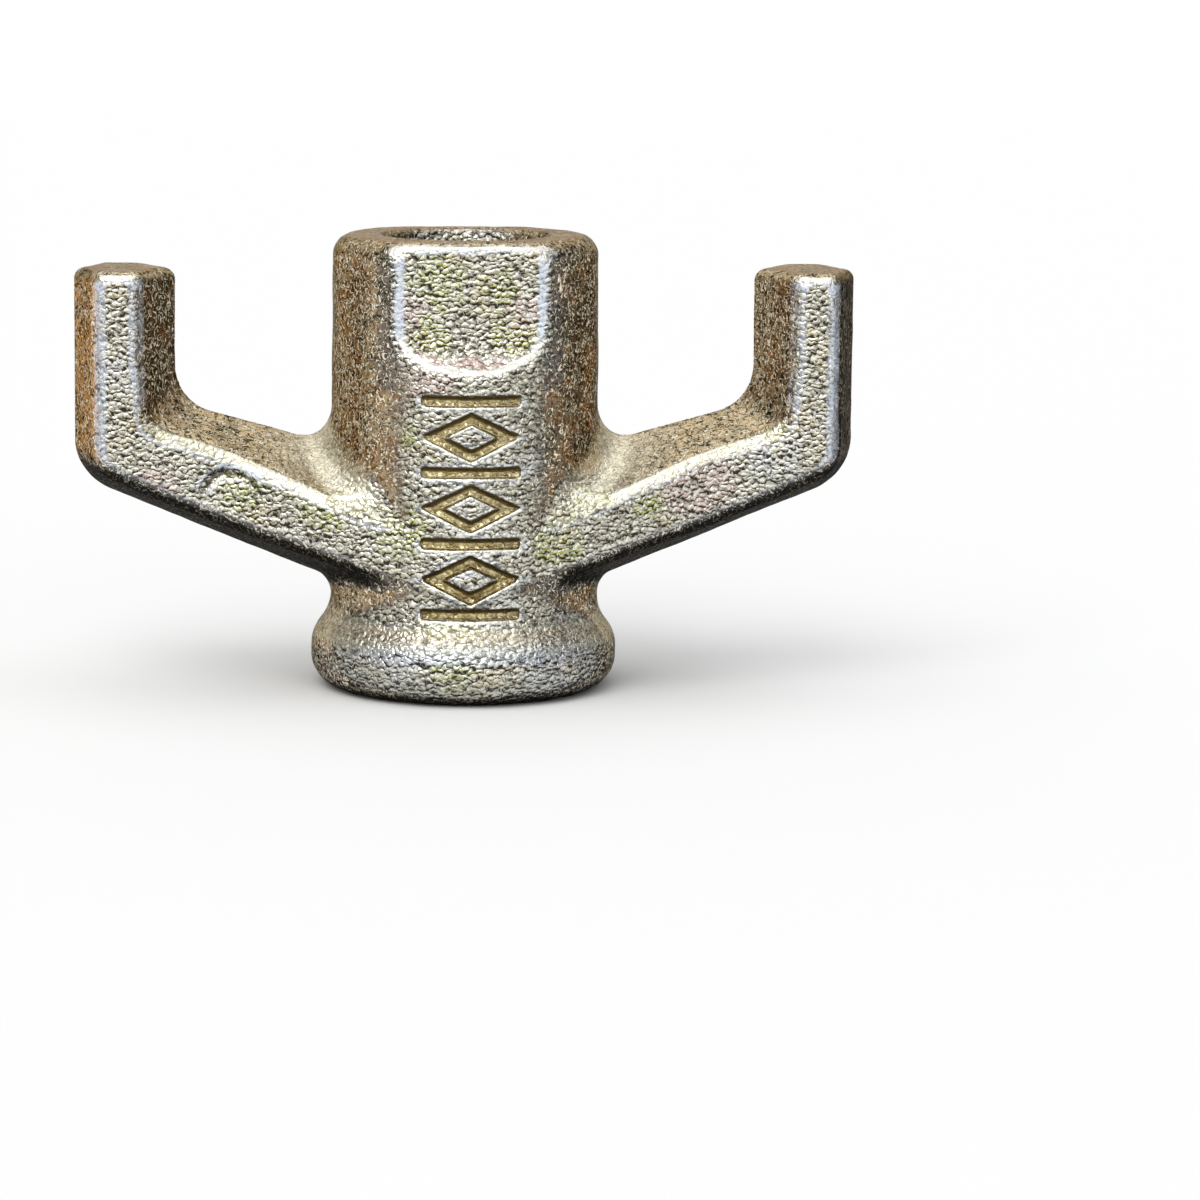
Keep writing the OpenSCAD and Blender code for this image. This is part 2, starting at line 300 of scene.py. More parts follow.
# points and quads of the surface where a field passes through zero, on a regular grid
def surfaceNet(field, low, high, cell):
    axes = [np.arange(a - 1.5 * cell, b + 1.6 * cell, cell) for a, b in zip(low, high)]
    grid = np.meshgrid(*axes, indexing="ij")
    values = field(*grid)
    inside = values < 0
    corners = [(i, j, k) for i in (0, 1) for j in (0, 1) for k in (0, 1)]
    shape = np.array(inside.shape) - 1
    count = np.zeros(shape, int)
    for i, j, k in corners:
        count += inside[i:shape[0] + i, j:shape[1] + j, k:shape[2] + k]
    cells = np.argwhere((count > 0) & (count < 8))
    at = {c: values[tuple((cells + c).T)] for c in corners}
    total = np.zeros(cells.shape)
    crossings = np.zeros(len(cells))
    for a in corners:
        for axis in range(3):
            if a[axis]:
                continue
            b = tuple(v + (n == axis) for n, v in enumerate(a))
            crosses = (at[a] < 0) != (at[b] < 0)
            t = np.where(crosses, at[a] / np.where(crosses, at[a] - at[b], 1), 0)
            spot = np.array(a) + t[:, None] * (np.array(b) - a)
            total += np.where(crosses[:, None], spot, 0)
            crossings += crosses
    points = [axes[0][0], axes[1][0], axes[2][0]] + (cells + total / crossings[:, None]) * cell
    number = np.full(shape, -1)
    number[tuple(cells.T)] = np.arange(len(cells))
    quads = []
    for axis in range(3):
        u, v = (axis + 1) % 3, (axis + 2) % 3
        a = np.moveaxis(inside, (axis, u, v), (0, 1, 2))
        ids = np.moveaxis(number, (axis, u, v), (0, 1, 2))
        spots = np.argwhere(a[:-1, 1:-1, 1:-1] != a[1:, 1:-1, 1:-1]) + (0, 1, 1)
        i, j, k = spots.T
        ring = np.stack([ids[i, j - 1, k - 1], ids[i, j, k - 1], ids[i, j, k], ids[i, j - 1, k]], 1)
        leaving = a[i, j, k]
        quads.append(np.where(leaving[:, None], ring, ring[:, ::-1]))
    return points, np.concatenate(quads)


# how fast a field grows each way at the points
def slopeOf(field, points, step=0.02):
    slope = np.zeros(points.shape)
    for axis in range(3):
        shift = np.zeros(3)
        shift[axis] = step
        slope[:, axis] = (field(*(points + shift).T) - field(*(points - shift).T)) / (2 * step)
    return slope


# pulls points onto the surface, never more than a share of a cell at a time
def settled(field, points, cell, passes, share=0.4, flattest=0.2):
    for _ in range(passes):
        slope = slopeOf(field, points)
        step = field(*points.T)[:, None] * slope / np.maximum(flattest, (slope ** 2).sum(1))[:, None]
        length = np.linalg.norm(step, axis=1)[:, None]
        points = points - step * np.minimum(1, share * cell / np.maximum(length, 1e-9))
    return points


# soft random waves in space, about -1 to 1, with the given length
def waves(points, length, rng, count=22):
    total = np.zeros(len(points))
    for _ in range(count):
        way = rng.normal(size=3)
        way *= 2 * math.pi / (length * np.linalg.norm(way)) * rng.uniform(0.7, 1.4)
        total += np.sin(points @ way + rng.uniform(0, 2 * math.pi))
    return total / math.sqrt(count)


skin = {
    "cell": 0.5,
    "settle": 4,        # passes that pull the points onto the surface
    "waveHeights": ((8.0, 0.035), (2.6, 0.015)),   # wave length, height
    "sink": 0.02,       # how far inside the solid the waves lie on the whole
    "seed": 11,
    "bendReach": 0.7,   # how far to each side the bend of the surface is measured
}


# finer faces where the pattern is engraved
def refineMarks(shell):
    beside, beyond = marks["margin"]
    fine = marks["halfWidth"] + beside
    top = marks["lowest"] + (marks["bars"] - 1) * marks["pitch"]
    edges = [
        e for e in shell.edges
        if all(abs(v.co.x) < fine and v.co.y < -barrel["radius"] / 2
               and marks["lowest"] - beyond < v.co.z < top + beyond for v in e.verts)]
    bmesh.ops.subdivide_edges(shell, edges=edges, cuts=1, use_grid_fill=True)


# forged unevenness, a little inwards on the whole so that the nut keeps its size
def uneven(points):
    rng = np.random.default_rng(skin["seed"])
    slope = slopeOf(nutField, points)
    normals = slope / np.linalg.norm(slope, axis=1)[:, None]
    rise = np.zeros(len(points))
    for length, height in skin["waveHeights"]:
        rise += height * waves(points, length, rng)
    return points + normals * (rise - skin["sink"])[:, None]


# layers of the mesh for the plating: where it is convex, creased, engraved or bored
def keepLayers(mesh, points):
    reach = skin["bendReach"]
    around = -6 * nutField(*points.T)
    for axis in range(3):
        for side in (-reach, reach):
            shift = np.zeros(3)
            shift[axis] = side
            around += nutField(*(points + shift).T)
    x, y, z = points.T
    onStrokes = (strokeField(x, z) < marks["border"]) * (y < 0)
    inMouth = np.hypot(x, y) < bore["filmRadius"]
    keep(mesh, "bend", around / reach ** 2)
    keep(mesh, "crease", creaseDepth(x, y, z) / crease["depth"])
    keep(mesh, "engraved", np.clip(-barrelField(x, y, z) / marks["depth"], 0, 1) * onStrokes)
    keep(mesh, "inBore", np.clip(bore["filmDepth"] - boreField(x, y, z), 0, 1) * inMouth)


def keep(mesh, name, values):
    layer = mesh.attributes.new(name, "FLOAT", "POINT")
    layer.data.foreach_set("value", np.asarray(values, np.float32))


def buildSkin():
    low = np.array(nodeLow) * toMm
    high = np.array(nodeHigh) * toMm
    points, quads = surfaceNet(nutField, low, high, skin["cell"])
    points = settled(nutField, points, skin["cell"], skin["settle"])
    shell = bmesh.new()
    corners = [shell.verts.new(p) for p in points]
    for quad in quads:
        shell.faces.new([corners[n] for n in quad])
    print("nut: net of", len(points), "points")
    refineMarks(shell)
    points = np.array([v.co for v in shell.verts])
    points = settled(nutField, points, skin["cell"] / 2, skin["settle"])
    points = np.clip(uneven(points), low, high)
    for vert, p in zip(shell.verts, points):
        vert.co = p / toMm
    mesh = bpy.data.meshes.new("wingNutSkin")
    shell.to_mesh(mesh)
    shell.free()
    mesh.polygons.foreach_set("use_smooth", [True] * len(mesh.polygons))
    keepLayers(mesh, points)
    mesh.update()
    nut = bpy.data.objects.new("wing_nut_skin", mesh)
    bpy.context.scene.collection.objects.link(nut)
    print("nut: skin of", sum(len(p.vertices) - 2 for p in mesh.polygons), "triangles")
    return nut


# a shader socket that can stand in sums and be mixed
class Flow:
    def __init__(self, tree, socket):
        self.tree = tree
        self.socket = socket

    # a shader node of any kind: its settings first, then what its sockets hold
    @classmethod
    def node(cls, tree, kind, settings=None, sockets=None, out=0):
        made = tree.nodes.new("ShaderNode" + kind)
        for name, value in (settings or {}).items():
            setattr(made, name, value)
        for name, value in (sockets or {}).items():
            if isinstance(value, Flow):
                tree.links.new(value.socket, made.inputs[name])
            else:
                made.inputs[name].default_value = value
        return cls(tree, made.outputs[out])

    def math(self, operation, *values):
        sockets = {n: v for n, v in enumerate(values)}
        return Flow.node(self.tree, "Math", {"operation": operation}, sockets)

    def __add__(self, other):
        return self.math("ADD", self, other)

    def __radd__(self, other):
        return self.math("ADD", other, self)

    def __sub__(self, other):
        return self.math("SUBTRACT", self, other)

    def __rsub__(self, other):
        return self.math("SUBTRACT", other, self)

    def __mul__(self, other):
        return self.math("MULTIPLY", self, other)

    def __rmul__(self, other):
        return self.math("MULTIPLY", other, self)

    def __pow__(self, other):
        return self.math("POWER", self, other)

    def __abs__(self):
        return self.math("ABSOLUTE", self)

    def vector(self, operation, other):
        return Flow.node(self.tree, "VectorMath", {"operation": operation}, {0: self, 1: other})

    # 0 below low, 1 above high, smooth between; works downwards too
    def between(self, low, high):
        settings = {"interpolation_type": "SMOOTHSTEP"}
        sockets = {"Value": self, "From Min": low, "From Max": high}
        return Flow.node(self.tree, "MapRange", settings, sockets)

    # how far a value is in a named zone
    def zone(self, name):
        return self.between(*zones[name])

    # the first colour, with this share of the second over it
    def blend(self, first, second):
        sockets = {0: self, 6: first, 7: second}
        return Flow.node(self.tree, "Mix", {"data_type": "RGBA"}, sockets, 2)


plating = {
    "front": (0.42, 0.40, 0.29, 1),       # grain of the front and back, with painted light: its tone set apart from the sides' by the way it faces
    "white": (0.98, 0.96, 0.88, 1),       # painted highlights: tips of the grain, saddles, ledges, glints and worn edges
    "left": (0.49, 0.36, 0.21, 1),        # the sides, with painted light: lighter on the left, darker on the right
    "right": (0.21, 0.16, 0.10, 1),
    "warm": (0.34, 0.185, 0.08, 1),       # brown patches of the sides
    "upper": (0.73, 0.57, 0.34, 1),       # painted light on slopes that look upwards
    "hollow": (0.97, 0.89, 0.67, 1),      # painted light on the saddles beside the barrel, and on the neck
    "top": (0.93, 0.68, 0.43, 1),         # painted light: level tops
    "ridge": (0.98, 0.94, 0.64, 1),       # painted highlight on the upper edges of the arms
    "glint": (1.0, 0.93, 0.75, 1),        # painted glints on short ridges of the grain
    "under": (0.012, 0.010, 0.009, 1),    # painted shade on the undersides, with the dark sheet over them
    "shadeSheet": (0.004, 0.004, 0.003, 1),
    "rust": (0.66, 0.37, 0.16, 1),        # outside of the left wing
    "shade": (0.075, 0.060, 0.042, 1),    # painted shade on the outside of the right wing and the inner side of the left wing
    "green": (0.42, 0.46, 0.10, 1),
    # film patches, and the painted highlight on the flange's band and on worn edges
    "blue": (0.70, 0.78, 0.94, 1),
    "turnedAwayShade": (0.10, 0.12, 0.15, 1),       # painted shade where the surface turns away from the front, where it looks down, and beside the lips of the flats
    "rose": (0.68, 0.46, 0.42, 1),
    "gold": (0.55, 0.43, 0.17, 1),        # floors of the marks, and stains
    "umber": (0.10, 0.075, 0.035, 1),     # painted shade on the upper edges of the marks
    "grimeAndShade": (0.048, 0.040, 0.028, 1),    # furrows and worn patches, and painted shade in the pebbles' gaps and lower sides, the crease and the bore
    "grazing": (0.25, 0.23, 0.20, 1),     # tint of the metal seen at a slant
    "roughness": (0.29, 0.40),
    # patches of coloured film on the front: across, height and radius in millimetres
    "greenSpots": (
        (-4, 52, 3.4), (3, 50.5, 2.6), (5, 45, 3), (-4.5, 44.5, 2.6), (-28, 26, 3.4),
        (-18, 25, 4), (-8, 33, 1.8), (-8, 21, 3.5), (11, 20, 3), (22, 24, 2.4), (-2, 6, 4)),
    "roseSpots": ((-7, 48, 2.2), (6.5, 48, 2.4), (-5, 39.5, 3), (28, 27, 5), (-38, 26, 3), (12, 7, 3)),
    "blueSpots": ((4, 12, 2.8), (-9, 6.5, 3.5), (9, 4, 3), (8, 30, 2.5), (38, 30, 3.5), (-41, 40, 3)),
    "spotEdge": (1.25, 0.6),         # where a patch starts and is full, in radii
    "spotSway": 5,                   # how far its border strays, in millimetres
}
# sizes in millimetres, and the noise values between which each line starts and is full
grain = {
    "warp": 0.8,
    "pebble": (0.78, 0.56),          # width and height
    "pebbleWarp": 0.9,
    "pebbleHeight": 0.22,
    "crack": (0.52, 0.78),
    "dash": 0.58,
    "dashWarp": 1.5,
    "dashWidth": (0.09, 0.03),
    "dashGap": (0.43, 0.53),
    "dashHeight": 0.08,
    "furrow": 0.7,
    "furrowWidth": (0.10, 0.02),
    "patch": 4,
    "warmPatch": (0.48, 0.62),
    "wornPatch": (0.50, 0.34),
    "stain": 5,
    "goldStain": (0.54, 0.68),
    "ragged": 2.5,
    "wander": 1.4,
    "streak": 1.2,
    "streakShape": (0.6, 0.6, 1.6),
    "streakWidth": (0.47, 0.55),
    "roughPebble": (0.9, 0.4),
}
# where the plating changes, each from where it starts to where it is full
zones = {
    # heights and distances from the middle, in millimetres
    "low": (13, 9),                  # neck and flange
    "seatRim": (5, 2.5),             # painted shade on the lower edge of the flange
    "bulgeFoot": (4.8, 6.2),         # painted highlight band round the flange
    "bulgeTop": (8.8, 7.4),
    "roseFoot": (7.2, 8.0),          # rose band above it
    "roseTop": (9.6, 8.8),
    "flatWidth": (12.5, 11),         # the flats with their ledges
    "flatFoot": (37.5, 39),
    "flatCrown": (53.5, 55),         # their upper edge
    "cornerX": (8.4, 9.2),           # painted shade on corners that the flats leave on the barrel
    "cornerY": (-2.6, -0.8),
    "saddleX": (27, 17),             # hollows between the arms and the barrel, for painted light
    "saddleFoot": (22, 25),
    "saddleTop": (44, 40),
    "rightEnd": (42, 46),
    "leftEnd": (-42, -46),
    "leftArm": (-30, -36),           # painted shade on the inner side of the left wing
    "marksX": (8.5, 7.5),            # engraved marks
    "marksTop": (39.5, 38.5),
    "marksFoot": (9, 10),
    "lipOuter": (-0.12, -0.32),      # from the edge of the barrel
    "creaseLine": (0.32, 0.10),
    # how far the surface looks one way: 1 is straight that way
    "front": (0.78, 0.92),
    "rimmed": (1.0, 0.5),            # painted shade where the front turns away, of the front's own share
    "turned": (0.92, 0.6),           # painted shade on the flange's front towards its sides
    "bulge": (0.5, 0.8),             # front of the painted highlight band
    "wornAndLitEdge": (0.55, 0.8),             # worn edges of the front and back, with painted highlight
    "right": (0.35, 0.65),
    "left": (-0.35, -0.65),
    "innerSide": (0.3, 0.6),
    "across": (-0.6, 0.6),           # from the left side to the right one, for the painted light of the sides
    "upper": (0.15, 0.60),           # painted light on slopes that look upwards
    "hollow": (0.05, 0.5),
    "top": (0.90, 0.985),
    "under": (-0.24, -0.55),
    "sideBelow": (-0.08, -0.28),     # painted shade on sides that look downwards
    "lowBelow": (0.3, -0.1),         # the same on the neck and flange
    "frontBelow": (-0.06, -0.30),    # the same on the front and back
    "bareBelow": (-0.30, 0.05),
    "markAbove": (-0.12, -0.45),     # painted shade on upper edges of the marks
    "markBelow": (0.35, 0.05),       # lower edges of the marks
    "whiteLip": (0.0, 0.4),          # painted highlight on worn edges, from blue facing down to white facing up
    # heights on a pebble, with its middle at 0, for painted highlight and shade
    "pebbleLit": (-0.02, 0.60),
    "pebbleTip": (0.25, 0.65),
    "pebbleDark": (-0.10, -0.55),
    # values of the mesh's own layers
    "edge": (0.30, 0.60),
    "crease": (0.02, 0.2),
}


# what the plating is worked out from: places, ways, grain, zones and edges
class Surface:
    def __init__(self, tree):
        self.tree = tree
        self.place = self.node("TexCoord", out="Object").vector("MULTIPLY", [toMm] * 3)
        self.x, self.y, self.z = self.split(self.place)
        self.toRight, self.toBack, self.toTop = self.split(self.node("TexCoord", out="Normal"))
        self.facing = abs(self.toBack)
        self.fromMiddle = abs(self.x)
        self.engraved = self.stored("engraved")
        self.inBore = self.stored("inBore")
        self.findGrain()
        self.findZones()
        self.findEdges()

    def node(self, kind, settings=None, sockets=None, out=0):
        return Flow.node(self.tree, kind, settings, sockets, out)

    def split(self, vector):
        return [self.node("SeparateXYZ", None, {0: vector}, axis) for axis in "XYZ"]

    def stored(self, name):
        return self.node("Attribute", {"attribute_name": name}, None, "Fac")

    def noise(self, at, size, detail=0.0, roughness=0.5, out=0):
        sockets = {"Vector": at, "Scale": 1 / size, "Detail": detail, "Roughness": roughness}
        return self.node("TexNoise", None, sockets, out)

    # one warp bends every grain, so that pebbles, dashes and furrows run together
    def findGrain(self):
        warp = self.noise(self.place, grain["warp"], 1.0, out="Color").vector("SUBTRACT", [0.5] * 3)

        # rounded pebbles, wider than tall, that blasting left on the forging
        wide, tall = grain["pebble"]
        bent = self.place.vector("ADD", warp.vector("MULTIPLY", [grain["pebbleWarp"]] * 3))
        inCell = bent.vector("MULTIPLY", (1 / wide, 1 / wide, 1 / tall))
        near = self.node("TexVoronoi", None, {"Vector": inCell, "Scale": 1}, "Distance")
        middle = Flow(self.tree, near.socket.node.outputs["Position"])
        self.rise = self.node("SeparateXYZ", None, {0: inCell.vector("SUBTRACT", middle)}, "Z") * 2
        self.pebble = 1 - near * near
        self.crack = near.between(*grain["crack"])

        # short bright ridges, where one noise passes its middle and another is high
        bent = self.place.vector("ADD", warp.vector("MULTIPLY", [grain["dashWarp"]] * 3))
        dash = abs(self.noise(bent, grain["dash"]) - 0.5).between(*grain["dashWidth"])
        broken = self.noise(bent.vector("ADD", (31, 17, 5)), 0.8 * grain["dash"])
        self.dash = dash * broken.between(*grain["dashGap"])
        furrow = self.noise(bent.vector("ADD", (7, 3, 11)), grain["furrow"])
        self.furrow = abs(furrow - 0.5).between(*grain["furrowWidth"])

    def findZones(self):
        self.low = self.z.zone("low")
        # masks by the way the surface faces, for painted light and shade: the front, the shelves, the
        # undersides, the right wing's outside and the hollows
        self.front = (self.facing + self.toTop * 0.3 + self.low * 0.32).zone("front")
        self.onFlat = self.fromMiddle.zone("flatWidth") * self.z.zone("flatFoot")
        self.offFlat = 1 - self.onFlat
        self.shelf = self.front * self.toTop.between(0.35 - self.offFlat * 0.2, 0.65 - self.offFlat * 0.15)
        self.under = (self.toTop + self.low * 0.3).zone("under")
        self.farRight = self.toRight.zone("right") * self.x.zone("rightEnd")
        saddle = self.fromMiddle.zone("saddleX") * self.z.zone("saddleFoot")
        self.hollow = self.toTop.zone("hollow") * (saddle + self.low * 0.5) * self.z.zone("saddleTop")
        self.onMarks = self.fromMiddle.zone("marksX") * self.z.zone("marksTop") * self.z.zone("marksFoot")

    # painted highlight on the lips of the flats, from the distance to the barrel and to the flat with its
    # slanted foot, with painted shade at the corners beside them
    def findEdges(self):
        self.wander = self.noise(self.place, grain["wander"], 1.0) - 0.5
        fromRound = (self.x * self.x + self.y * self.y) ** 0.5 - barrel["radius"]
        fromRim = (self.z - barrel["height"]) * 0.55
        inside = fromRound.math("MAXIMUM", fromRound, fromRim) + self.wander * 0.5
        beyond = abs(self.y) - flats["half"]
        slope = math.radians(flats["ledgeAngle"])
        foot = (self.z - flats["footZ"]) * math.cos(slope) + beyond * math.sin(slope)
        crown = self.z.zone("flatCrown")
        flat = beyond.math("MINIMUM", beyond, foot)
        flat = flat.between(-0.35 - crown * 0.9, -0.15 - crown * 0.8) * self.onFlat
        lip = inside.between(-0.85 - self.shelf * 0.25, -0.60 - self.shelf * 0.1)
        self.lip = lip * inside.zone("lipOuter") * flat
        corner = beyond.zone("cornerY") * self.fromMiddle.zone("cornerX")
        self.corner = corner * self.onFlat * (1 - self.lip)

        # worn edges that take a painted highlight, and the marks with painted shade on their upper edges
        # and painted highlight only on their lower ones
        edge = self.stored("bend").zone("edge") * self.offFlat
        self.markShade = (edge + self.engraved) * self.onMarks * self.toTop.zone("markAbove")
        self.edge = edge * (1 - self.onMarks * self.toTop.zone("markBelow") * 0.6)

    # soft patches with ragged borders, by their places on the front
    def spots(self, name):
        sway = plating["spotSway"]
        ragged = self.noise(self.place, grain["ragged"], 1.0, out="Color")
        ragged = ragged.vector("MULTIPLY", (sway, 0, sway))
        ragged = ragged.vector("ADD", self.place.vector("MULTIPLY", (1, 0, 1)))
        starts, full = plating["spotEdge"]
        found = 0.0
        for x, z, radius in plating[name]:
            sockets = {0: ragged, 1: (x + sway / 2, 0, z + sway / 2)}
            away = self.node("VectorMath", {"operation": "DISTANCE"}, sockets, "Value")
            found = away.math("MAXIMUM", away.between(radius * starts, radius * full), found)
        return found


# colours of the plating laid one over another, each with its share
def layered(colour, *layers):
    for share, name in layers:
        colour = share.blend(colour, plating[name])
    return colour


# sides: brown film with fine furrows and worn patches, with painted light and shade: lighter at the left
# than the right, lighter on upward slopes, saddles and tops, dark below, and painted glints on short
# ridges
def sideFilmAndShade(here):
    patches = here.noise(here.place, grain["patch"], 2.0, 0.6)
    worn = patches.between(*grain["wornPatch"]) * 0.4 + here.furrow * 0.9
    top = here.toTop.zone("top")
    return layered(
        here.toRight.zone("across").blend(plating["left"], plating["right"]),
        (patches.between(*grain["warmPatch"]) * 0.8, "warm"),
        (here.toRight.zone("left") * here.x.zone("leftEnd"), "rust"),
        (here.farRight, "shade"),
        (here.toRight.zone("innerSide") * here.x.zone("leftArm") * 0.6, "shade"),
        (here.toTop.zone("upper"), "upper"),
        (here.hollow, "hollow"),
        (top, "top"),
        (here.toTop.zone("sideBelow") * (1 - here.low) * 0.7, "turnedAwayShade"),
        (here.low * here.toTop.zone("lowBelow") * 0.65, "turnedAwayShade"),
        (here.low * here.rise.zone("pebbleTip") * 0.6, "white"),
        (here.under, "under"),
        (here.corner * 0.6, "turnedAwayShade"),
        (worn * (1 - here.hollow * 0.65 - top * 0.35), "grimeAndShade"),
        (here.dash * (0.97 - here.under * 0.8 - here.farRight * 0.55), "glint"))


# front and back: pebbles tinted in patches, with painted highlights on their upper sides, the saddles,
# ledges and arm ridges, and painted shade in their gaps, on their lower sides and where the surface turns
# away or looks down
def frontFilmAndLight(here):
    stained = 1 - here.inBore
    rimmed = here.front.zone("rimmed")
    film = layered(
        plating["front"],
        (here.spots("greenSpots") * stained * 0.9, "green"),
        (here.spots("roseSpots") * stained * 0.7, "rose"),
        (here.spots("blueSpots") * stained * 0.4, "blue"),
        (here.noise(here.place, grain["stain"], 1.0).between(*grain["goldStain"]) * 0.5, "gold"),
        (rimmed * 0.85, "turnedAwayShade"),
        (here.low * here.facing.zone("turned") * 0.7 + here.corner * 0.7, "turnedAwayShade"))
    # painted highlight on the upper sides of the pebbles, weaker where the front turns away
    lit = here.rise.zone("pebbleLit") * (1 - rimmed * 0.4)
    film = lit.blend(film, (lit * 0.2).blend(plating["white"], film))
    bulge = here.low * here.z.zone("bulgeFoot") * here.z.zone("bulgeTop") * here.facing.zone("bulge")
    calmer = (1 - here.shelf * 0.7) * (1 - here.hollow * (0.4 - here.low * 0.3))
    flattened = here.place.vector("MULTIPLY", grain["streakShape"])
    streaks = here.noise(flattened, grain["streak"], 2.0).between(*grain["streakWidth"])
    return layered(
        film,
        (here.hollow * (0.75 - here.low * 0.35) + here.shelf * here.onFlat * 0.5, "white"),
        (bulge * 0.75, "blue"),
        (here.low * here.z.zone("roseFoot") * here.z.zone("roseTop") * 0.45, "rose"),
        (here.shelf * here.offFlat * (0.8 - here.low * 0.4), "ridge"),
        ((here.rise.zone("pebbleDark") + here.crack * 0.5) * calmer, "grimeAndShade"),
        (here.toTop.zone("frontBelow") * (1 - here.low) * 0.85, "turnedAwayShade"),
        (here.z.zone("seatRim") * 0.3, "turnedAwayShade"),
        (here.dash * 0.5, "white"),
        (here.shelf * here.onFlat * streaks * 0.7, "rose"))


# worn edges with painted highlight, painted highlight on the lips of the flats, painted shade in the
# crease, the upper edges of the marks and the bore, and the gold engraved floors
def wornLitAndShadedPlaces(here, colour):
    bright = here.toTop.zone("whiteLip").blend(plating["blue"], plating["white"])
    wornAndLitEdge = here.edge * here.facing.zone("wornAndLitEdge") * here.toTop.zone("bareBelow")
    colour = (wornAndLitEdge * (0.8 - here.furrow * 0.5 + here.wander)).blend(colour, bright)
    colour = (here.lip * (0.8 - here.furrow * 0.4)).blend(colour, bright)
    acrossX = here.x - crease["x"]
    acrossZ = here.z - crease["z"]
    fromLine = (acrossX * acrossX + acrossZ * acrossZ) ** 0.5 - crease["radius"]
    line = abs(fromLine + here.wander * 0.5).zone("creaseLine")
    return layered(
        colour,
        (line * here.stored("crease").zone("crease") * 0.75, "grimeAndShade"),
        (here.engraved * 0.7, "gold"),
        (here.markShade * 0.8, "umber"),
        (here.inBore * 0.3, "grimeAndShade"))


def platedSteel():
    material = bpy.data.materials.new("yellow_zinc_plating")
    material.use_nodes = True
    tree = material.node_tree
    here = Surface(tree)
    # front and sides blended by the way the surface faces: painted light, with the front silvery and the
    # sides brown, except underneath
    colour = (here.front * (1 - here.under)).blend(sideFilmAndShade(here), frontFilmAndLight(here))
    colour = wornLitAndShadedPlaces(here, colour)
    smooth, rough = plating["roughness"]
    roughness = here.pebble.between(*grain["roughPebble"]) * (rough - smooth) + smooth
    height = here.pebble * grain["pebbleHeight"] * (here.front * 0.7 + 0.3)
    height = height + here.dash * grain["dashHeight"]
    calm = 1 - here.edge * 0.5 - here.lip * 0.6
    bump = here.node("Bump", None, {"Distance": 1 / toMm, "Height": height, "Strength": calm})
    shader = tree.nodes["Principled BSDF"]
    tree.links.new(colour.socket, shader.inputs["Base Color"])
    tree.links.new(roughness.socket, shader.inputs["Roughness"])
    tree.links.new(bump.socket, shader.inputs["Normal"])
    shader.inputs["Metallic"].default_value = 1
    shader.inputs["Specular Tint"].default_value = plating["grazing"]

    # painted shade: a dull dark sheet over the undersides and the outside of the right wing
    shadeSheet = here.node("BsdfPrincipled", None, {
        "Base Color": plating["shadeSheet"], "Roughness": 0.9, "Specular IOR Level": 0.1, "Normal": bump})
    share = (here.under * (0.85 - here.onMarks * 0.7) + here.farRight * 0.35) * (1 - here.dash * 0.7)
    mixed = here.node("MixShader", None, {0: share, 1: Flow(tree, shader.outputs[0]), 2: shadeSheet})
    tree.links.new(mixed.socket, tree.nodes["Material Output"].inputs["Surface"])
    print("nut: plating of", len(tree.nodes), "nodes")
    return material


studio = {
    "radius": 4.5,          # of the floor and the wall, in metres
    "sides": 96,
    "wallHeight": 0.7,
    "paper": (0.92, 0.92, 0.912, 1),
    "dim": (0.07, 0.07, 0.075, 1),     # the room between the soft boxes
    # light, half width and heights of each box in degrees
    "front": ((1.21, 1.21, 1.19, 1), 42, (2, 52)),
    "top": ((1.16, 1.18, 1.21, 1), 44),
    "left": ((0.37, 0.335, 0.28, 1), 40, (4, 40)),
    "back": ((0.84, 0.82, 0.79, 1), 50, (4, 40)),
    "leftTurn": 85,         # from the front to the left box, in degrees
    "softEdge": 14,
    "backEdge": 10,
    "key": (0.93, 40, (-0.30, -0.55, 0.72)),    # strength, width in degrees, way to the lamp
}


def showObject(name, mesh, material):
    mesh.materials.append(material)
    made = bpy.data.objects.new(name, mesh)
    bpy.context.scene.collection.objects.link(made)
    return made


# points round the studio at one height
def ringAt(z):
    turns = [2 * math.pi * n / studio["sides"] for n in range(studio["sides"])]
    return [(studio["radius"] * math.cos(turn), studio["radius"] * math.sin(turn), z) for turn in turns]


def plainMaterial(name, kind, sockets):
    material = bpy.data.materials.new(name)
    material.use_nodes = True
    tree = material.node_tree
    shown = Flow.node(tree, kind, None, sockets)
    tree.links.new(shown.socket, tree.nodes["Material Output"].inputs["Surface"])
    return material


def buildFloor():
    floorMesh = bpy.data.meshes.new("studioFloor")
    floorMesh.from_pydata(ringAt(0), [], [list(range(studio["sides"]))])
    paper = plainMaterial("pale_paper", "BsdfDiffuse", {"Color": studio["paper"]})
    showObject("studio_floor", floorMesh, paper)


# a low pale wall, which glows but lights nothing on purpose
def buildWall():
    around = studio["sides"]
    pairs = [(n, (n + 1) % around) for n in range(around)]
    wallMesh = bpy.data.meshes.new("studioWall")
    wallMesh.from_pydata(
        ringAt(0) + ringAt(studio["wallHeight"]), [], [(a, b, around + b, around + a) for a, b in pairs])
    glow = plainMaterial("pale_backdrop", "Emission", {"Color": studio["paper"], "Strength": 1})
    glow.cycles.emission_sampling = "NONE"
    showObject("studio_wall", wallMesh, glow)


